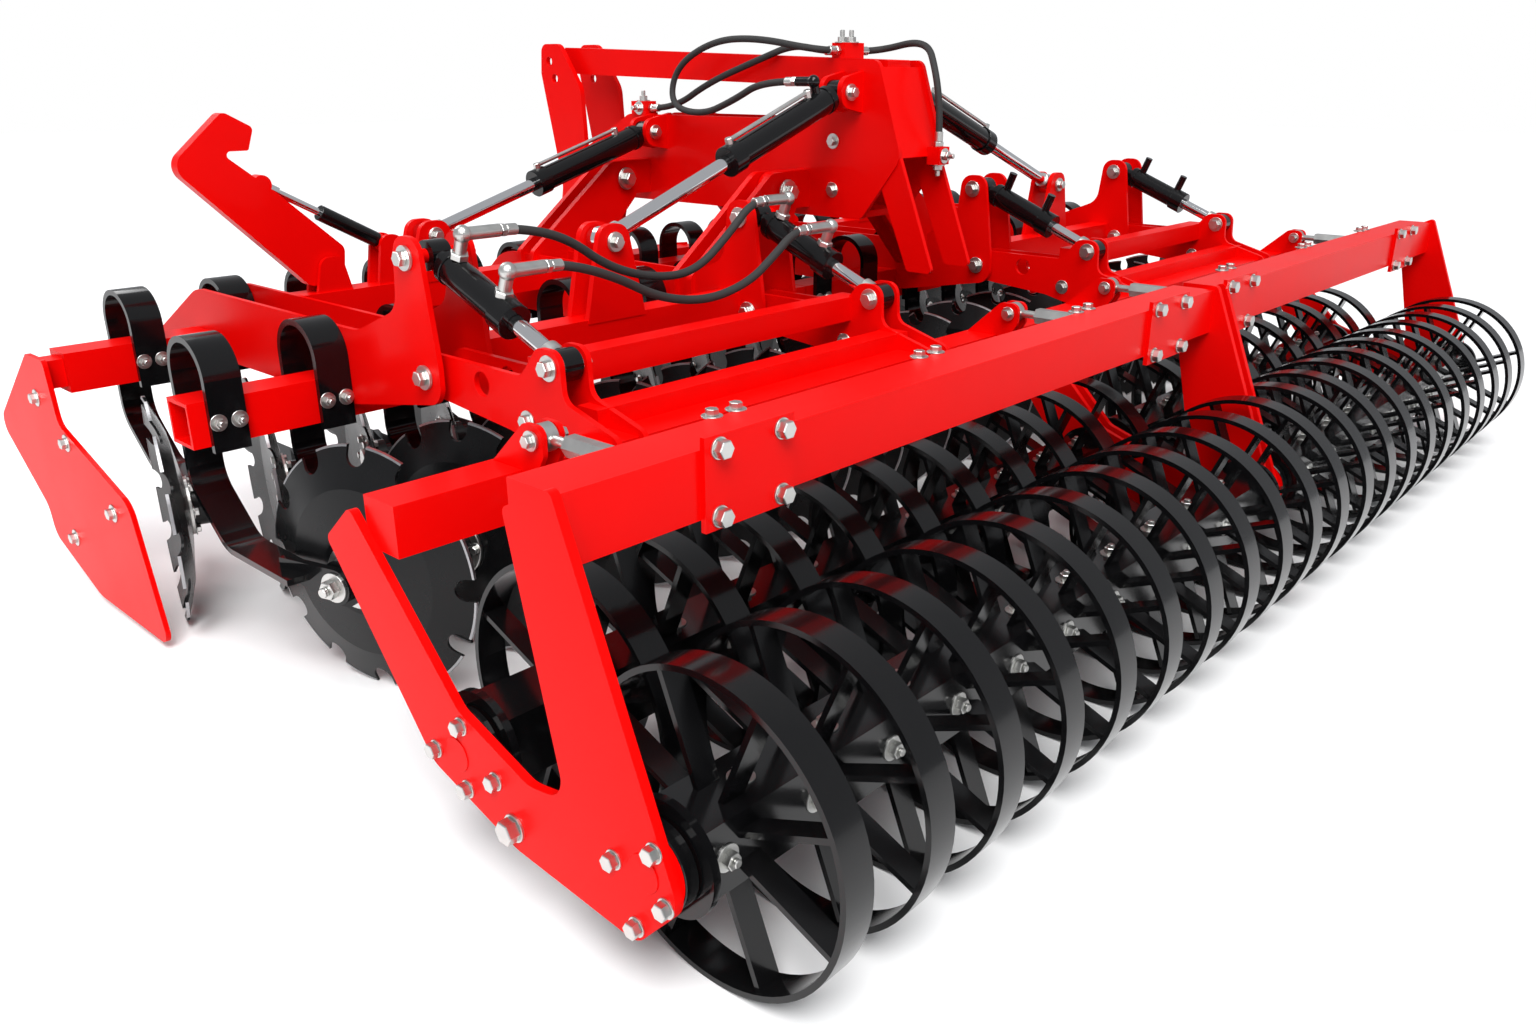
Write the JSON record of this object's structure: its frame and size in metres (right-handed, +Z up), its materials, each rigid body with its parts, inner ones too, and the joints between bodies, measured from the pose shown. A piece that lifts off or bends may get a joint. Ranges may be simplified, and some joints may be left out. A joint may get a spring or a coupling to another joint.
{
  "type": "disc harrow",
  "caption": "Mounted folding disc harrow: red wings with rows of notched discs on C-shaped leaf springs, twin ring rollers behind and a three-point headstock.",
  "frame": {"origin": "on the ground under the middle of the bounding box", "axes": "+X to the right of travel, +Y forward to the headstock, +Z up"},
  "size_m": [4.14, 3.01, 1.3998],
  "materials": {
    "red_paint": "gloss",
    "black_spring": "gloss",
    "disc_steel": "satin",
    "black_roller": "gloss",
    "zinc": "zinc plated",
    "chrome_rod": "polished",
    "black_barrel": "satin",
    "hose_rubber": "matte"
  },
  "bodies": {
    "mast": {"mast": "red_paint", "mast_hoses": "hose_rubber"},
    "left_wing": {"left_wing_frame": "red_paint", "left_spring_arms": "black_spring", "transport_lock": "red_paint"},
    "left_roller_carrier": {"left_roller_frame": "red_paint", "left_turnbuckles": "zinc"},
    "left_rear_fold_barrel": {"left_rear_fold_barrel": "black_barrel"},
    "left_rear_fold_rod": {"left_rear_fold_rod": "chrome_rod"},
    "left_front_fold_barrel": {"left_front_fold_barrel": "black_barrel"},
    "left_front_fold_rod": {"left_front_fold_rod": "chrome_rod"},
    "left_depth_barrels": {"left_depth_barrels": "black_barrel", "left_wing_hoses": "hose_rubber"},
    "left_depth_rods": {"left_depth_rods": "chrome_rod"},
    "left_rear_roller": {"left_rear_roller": "black_roller"},
    "left_front_roller": {"left_front_roller": "black_roller"},
    "right_wing": {"right_wing_frame": "red_paint", "right_spring_arms": "black_spring"},
    "right_roller_carrier": {"right_roller_frame": "red_paint", "right_turnbuckles": "zinc"},
    "right_rear_fold_barrel": {"right_rear_fold_barrel": "black_barrel"},
    "right_rear_fold_rod": {"right_rear_fold_rod": "chrome_rod"},
    "right_front_fold_barrel": {"right_front_fold_barrel": "black_barrel"},
    "right_front_fold_rod": {"right_front_fold_rod": "chrome_rod"},
    "right_depth_barrels": {"right_depth_barrels": "black_barrel"},
    "right_depth_rods": {"right_depth_rods": "chrome_rod"},
    "right_rear_roller": {"right_rear_roller": "black_roller"},
    "right_front_roller": {"right_front_roller": "black_roller"},
    "disc_rear_01": {"disc_rear_01": "disc_steel"},
    "disc_rear_02": {"disc_rear_02": "disc_steel"},
    "disc_rear_03": {"disc_rear_03": "disc_steel"},
    "disc_rear_04": {"disc_rear_04": "disc_steel"},
    "disc_rear_05": {"disc_rear_05": "disc_steel"},
    "disc_rear_06": {"disc_rear_06": "disc_steel"},
    "disc_rear_07": {"disc_rear_07": "disc_steel"},
    "disc_rear_08": {"disc_rear_08": "disc_steel"},
    "disc_rear_09": {"disc_rear_09": "disc_steel"},
    "disc_rear_10": {"disc_rear_10": "disc_steel"},
    "disc_rear_11": {"disc_rear_11": "disc_steel"},
    "disc_rear_12": {"disc_rear_12": "disc_steel"},
    "disc_rear_13": {"disc_rear_13": "disc_steel"},
    "disc_rear_14": {"disc_rear_14": "disc_steel"},
    "disc_rear_15": {"disc_rear_15": "disc_steel"},
    "disc_rear_16": {"disc_rear_16": "disc_steel"},
    "disc_front_01": {"disc_front_01": "disc_steel"},
    "disc_front_02": {"disc_front_02": "disc_steel"},
    "disc_front_03": {"disc_front_03": "disc_steel"},
    "disc_front_04": {"disc_front_04": "disc_steel"},
    "disc_front_05": {"disc_front_05": "disc_steel"},
    "disc_front_06": {"disc_front_06": "disc_steel"},
    "disc_front_07": {"disc_front_07": "disc_steel"},
    "disc_front_08": {"disc_front_08": "disc_steel"},
    "disc_front_09": {"disc_front_09": "disc_steel"},
    "disc_front_10": {"disc_front_10": "disc_steel"},
    "disc_front_11": {"disc_front_11": "disc_steel"},
    "disc_front_12": {"disc_front_12": "disc_steel"},
    "disc_front_13": {"disc_front_13": "disc_steel"},
    "disc_front_14": {"disc_front_14": "disc_steel"},
    "disc_front_15": {"disc_front_15": "disc_steel"},
    "disc_front_16": {"disc_front_16": "disc_steel"}
  },
  "joints": [
    {"name": "left_fold", "type": "hinge", "parent": "mast", "child": "left_wing", "pos_m": [-0.25, 0.155, 0.96], "axis": [0, 1, 0], "range_deg": [0, 90]},
    {"name": "left_rear_fold_barrel_turn", "type": "hinge", "parent": "mast", "child": "left_rear_fold_barrel", "pos_m": [-0.17, -0.02, 1.238], "axis": [0, 1, 0], "range_deg": [-1, 97.43]},
    {"name": "left_rear_fold_rod_slide", "type": "slide", "parent": "left_rear_fold_barrel", "child": "left_rear_fold_rod", "axis": [-0.9384, 0, -0.3456], "range_m": [-0.40288, 0.002]},
    {"name": "left_front_fold_barrel_turn", "type": "hinge", "parent": "mast", "child": "left_front_fold_barrel", "pos_m": [-0.17, 0.805, 1.107], "axis": [0, 1, 0], "range_deg": [-1, 90.97]},
    {"name": "left_front_fold_rod_slide", "type": "slide", "parent": "left_front_fold_barrel", "child": "left_front_fold_rod", "axis": [-0.9587, 0, -0.2845], "range_m": [-0.23868, 0.002]},
    {"name": "left_depth", "type": "hinge", "parent": "left_wing", "child": "left_roller_carrier", "pos_m": [-1.5625, -0.095, 0.683], "axis": [1, 0, 0], "range_deg": [-8, 8]},
    {"name": "left_depth_barrel_turn", "type": "hinge", "parent": "left_wing", "child": "left_depth_barrels", "pos_m": [-1.5625, -0.065, 0.93], "axis": [1, 0, 0], "range_deg": [-6.36, 6.36]},
    {"name": "left_depth_rod_slide", "type": "slide", "parent": "left_depth_barrels", "child": "left_depth_rods", "axis": [0, -0.9252, -0.3794], "range_m": [-0.03228, 0.03228]},
    {"name": "left_rear_roller_spin", "type": "hinge", "parent": "left_roller_carrier", "child": "left_rear_roller", "pos_m": [-1, -1.245, 0.26], "axis": [1, 0, 0], "continuous": true},
    {"name": "left_front_roller_spin", "type": "hinge", "parent": "left_roller_carrier", "child": "left_front_roller", "pos_m": [-1, -0.8, 0.26], "axis": [1, 0, 0], "continuous": true},
    {"name": "right_fold", "type": "hinge", "parent": "mast", "child": "right_wing", "pos_m": [0.25, 0.155, 0.96], "axis": [0, -1, 0], "range_deg": [0, 90]},
    {"name": "right_rear_fold_barrel_turn", "type": "hinge", "parent": "mast", "child": "right_rear_fold_barrel", "pos_m": [0.17, -0.02, 1.238], "axis": [0, -1, 0], "range_deg": [-1, 97.43]},
    {"name": "right_rear_fold_rod_slide", "type": "slide", "parent": "right_rear_fold_barrel", "child": "right_rear_fold_rod", "axis": [0.9384, 0, -0.3456], "range_m": [-0.40288, 0.002]},
    {"name": "right_front_fold_barrel_turn", "type": "hinge", "parent": "mast", "child": "right_front_fold_barrel", "pos_m": [0.17, 0.805, 1.107], "axis": [0, -1, 0], "range_deg": [-1, 90.97]},
    {"name": "right_front_fold_rod_slide", "type": "slide", "parent": "right_front_fold_barrel", "child": "right_front_fold_rod", "axis": [0.9587, 0, -0.2845], "range_m": [-0.23868, 0.002]},
    {"name": "right_depth", "type": "hinge", "parent": "right_wing", "child": "right_roller_carrier", "pos_m": [1.5625, -0.095, 0.683], "axis": [1, 0, 0], "range_deg": [-8, 8]},
    {"name": "right_depth_barrel_turn", "type": "hinge", "parent": "right_wing", "child": "right_depth_barrels", "pos_m": [1.5625, -0.065, 0.93], "axis": [1, 0, 0], "range_deg": [-6.36, 6.36]},
    {"name": "right_depth_rod_slide", "type": "slide", "parent": "right_depth_barrels", "child": "right_depth_rods", "axis": [0, -0.9252, -0.3794], "range_m": [-0.03228, 0.03228]},
    {"name": "right_rear_roller_spin", "type": "hinge", "parent": "right_roller_carrier", "child": "right_rear_roller", "pos_m": [1, -1.245, 0.26], "axis": [1, 0, 0], "continuous": true},
    {"name": "right_front_roller_spin", "type": "hinge", "parent": "right_roller_carrier", "child": "right_front_roller", "pos_m": [1, -0.8, 0.26], "axis": [1, 0, 0], "continuous": true},
    {"name": "disc_rear_01_spin", "type": "hinge", "parent": "left_wing", "child": "disc_rear_01", "pos_m": [-1.782, -0.055, 0.28], "axis": [0.9563, 0.2924, 0], "continuous": true},
    {"name": "disc_rear_02_spin", "type": "hinge", "parent": "left_wing", "child": "disc_rear_02", "pos_m": [-1.532, -0.055, 0.28], "axis": [0.9563, 0.2924, 0], "continuous": true},
    {"name": "disc_rear_03_spin", "type": "hinge", "parent": "left_wing", "child": "disc_rear_03", "pos_m": [-1.282, -0.055, 0.28], "axis": [0.9563, 0.2924, 0], "continuous": true},
    {"name": "disc_rear_04_spin", "type": "hinge", "parent": "left_wing", "child": "disc_rear_04", "pos_m": [-1.032, -0.055, 0.28], "axis": [0.9563, 0.2924, 0], "continuous": true},
    {"name": "disc_rear_05_spin", "type": "hinge", "parent": "left_wing", "child": "disc_rear_05", "pos_m": [-0.782, -0.055, 0.28], "axis": [0.9563, 0.2924, 0], "continuous": true},
    {"name": "disc_rear_06_spin", "type": "hinge", "parent": "left_wing", "child": "disc_rear_06", "pos_m": [-0.532, -0.055, 0.28], "axis": [0.9563, 0.2924, 0], "continuous": true},
    {"name": "disc_rear_07_spin", "type": "hinge", "parent": "left_wing", "child": "disc_rear_07", "pos_m": [-0.282, -0.055, 0.28], "axis": [0.9563, 0.2924, 0], "continuous": true},
    {"name": "disc_rear_08_spin", "type": "hinge", "parent": "left_wing", "child": "disc_rear_08", "pos_m": [-0.032, -0.055, 0.28], "axis": [0.9563, 0.2924, 0], "continuous": true},
    {"name": "disc_rear_09_spin", "type": "hinge", "parent": "right_wing", "child": "disc_rear_09", "pos_m": [0.218, -0.055, 0.28], "axis": [0.9563, 0.2924, 0], "continuous": true},
    {"name": "disc_rear_10_spin", "type": "hinge", "parent": "right_wing", "child": "disc_rear_10", "pos_m": [0.468, -0.055, 0.28], "axis": [0.9563, 0.2924, 0], "continuous": true},
    {"name": "disc_rear_11_spin", "type": "hinge", "parent": "right_wing", "child": "disc_rear_11", "pos_m": [0.718, -0.055, 0.28], "axis": [0.9563, 0.2924, 0], "continuous": true},
    {"name": "disc_rear_12_spin", "type": "hinge", "parent": "right_wing", "child": "disc_rear_12", "pos_m": [0.968, -0.055, 0.28], "axis": [0.9563, 0.2924, 0], "continuous": true},
    {"name": "disc_rear_13_spin", "type": "hinge", "parent": "right_wing", "child": "disc_rear_13", "pos_m": [1.218, -0.055, 0.28], "axis": [0.9563, 0.2924, 0], "continuous": true},
    {"name": "disc_rear_14_spin", "type": "hinge", "parent": "right_wing", "child": "disc_rear_14", "pos_m": [1.468, -0.055, 0.28], "axis": [0.9563, 0.2924, 0], "continuous": true},
    {"name": "disc_rear_15_spin", "type": "hinge", "parent": "right_wing", "child": "disc_rear_15", "pos_m": [1.718, -0.055, 0.28], "axis": [0.9563, 0.2924, 0], "continuous": true},
    {"name": "disc_rear_16_spin", "type": "hinge", "parent": "right_wing", "child": "disc_rear_16", "pos_m": [1.968, -0.055, 0.28], "axis": [0.9563, 0.2924, 0], "continuous": true},
    {"name": "disc_front_01_spin", "type": "hinge", "parent": "left_wing", "child": "disc_front_01", "pos_m": [-1.938, 0.66, 0.28], "axis": [-0.9563, 0.2924, 0], "continuous": true},
    {"name": "disc_front_02_spin", "type": "hinge", "parent": "left_wing", "child": "disc_front_02", "pos_m": [-1.688, 0.66, 0.28], "axis": [-0.9563, 0.2924, 0], "continuous": true},
    {"name": "disc_front_03_spin", "type": "hinge", "parent": "left_wing", "child": "disc_front_03", "pos_m": [-1.438, 0.66, 0.28], "axis": [-0.9563, 0.2924, 0], "continuous": true},
    {"name": "disc_front_04_spin", "type": "hinge", "parent": "left_wing", "child": "disc_front_04", "pos_m": [-1.188, 0.66, 0.28], "axis": [-0.9563, 0.2924, 0], "continuous": true},
    {"name": "disc_front_05_spin", "type": "hinge", "parent": "left_wing", "child": "disc_front_05", "pos_m": [-0.938, 0.66, 0.28], "axis": [-0.9563, 0.2924, 0], "continuous": true},
    {"name": "disc_front_06_spin", "type": "hinge", "parent": "left_wing", "child": "disc_front_06", "pos_m": [-0.688, 0.66, 0.28], "axis": [-0.9563, 0.2924, 0], "continuous": true},
    {"name": "disc_front_07_spin", "type": "hinge", "parent": "left_wing", "child": "disc_front_07", "pos_m": [-0.438, 0.66, 0.28], "axis": [-0.9563, 0.2924, 0], "continuous": true},
    {"name": "disc_front_08_spin", "type": "hinge", "parent": "left_wing", "child": "disc_front_08", "pos_m": [-0.188, 0.66, 0.28], "axis": [-0.9563, 0.2924, 0], "continuous": true},
    {"name": "disc_front_09_spin", "type": "hinge", "parent": "right_wing", "child": "disc_front_09", "pos_m": [0.062, 0.66, 0.28], "axis": [-0.9563, 0.2924, 0], "continuous": true},
    {"name": "disc_front_10_spin", "type": "hinge", "parent": "right_wing", "child": "disc_front_10", "pos_m": [0.312, 0.66, 0.28], "axis": [-0.9563, 0.2924, 0], "continuous": true},
    {"name": "disc_front_11_spin", "type": "hinge", "parent": "right_wing", "child": "disc_front_11", "pos_m": [0.562, 0.66, 0.28], "axis": [-0.9563, 0.2924, 0], "continuous": true},
    {"name": "disc_front_12_spin", "type": "hinge", "parent": "right_wing", "child": "disc_front_12", "pos_m": [0.812, 0.66, 0.28], "axis": [-0.9563, 0.2924, 0], "continuous": true},
    {"name": "disc_front_13_spin", "type": "hinge", "parent": "right_wing", "child": "disc_front_13", "pos_m": [1.062, 0.66, 0.28], "axis": [-0.9563, 0.2924, 0], "continuous": true},
    {"name": "disc_front_14_spin", "type": "hinge", "parent": "right_wing", "child": "disc_front_14", "pos_m": [1.312, 0.66, 0.28], "axis": [-0.9563, 0.2924, 0], "continuous": true},
    {"name": "disc_front_15_spin", "type": "hinge", "parent": "right_wing", "child": "disc_front_15", "pos_m": [1.562, 0.66, 0.28], "axis": [-0.9563, 0.2924, 0], "continuous": true},
    {"name": "disc_front_16_spin", "type": "hinge", "parent": "right_wing", "child": "disc_front_16", "pos_m": [1.812, 0.66, 0.28], "axis": [-0.9563, 0.2924, 0], "continuous": true}
  ],
  "couplings": [
    {"joint": "left_rear_fold_barrel_turn", "follows": "left_fold", "ratio": 1.0715},
    {"joint": "left_rear_fold_rod_slide", "follows": "left_fold", "m_per_rad": -0.25521},
    {"joint": "left_front_fold_barrel_turn", "follows": "left_fold", "ratio": 0.99967},
    {"joint": "left_front_fold_rod_slide", "follows": "left_fold", "m_per_rad": -0.15068},
    {"joint": "left_depth_barrel_turn", "follows": "left_depth", "ratio": 0.73183},
    {"joint": "left_depth_rod_slide", "follows": "left_depth", "m_per_rad": 0.21686},
    {"joint": "right_rear_fold_barrel_turn", "follows": "right_fold", "ratio": 1.0715},
    {"joint": "right_rear_fold_rod_slide", "follows": "right_fold", "m_per_rad": -0.25521},
    {"joint": "right_front_fold_barrel_turn", "follows": "right_fold", "ratio": 0.99967},
    {"joint": "right_front_fold_rod_slide", "follows": "right_fold", "m_per_rad": -0.15068},
    {"joint": "right_depth_barrel_turn", "follows": "right_depth", "ratio": 0.73183},
    {"joint": "right_depth_rod_slide", "follows": "right_depth", "m_per_rad": 0.21686}
  ]
}
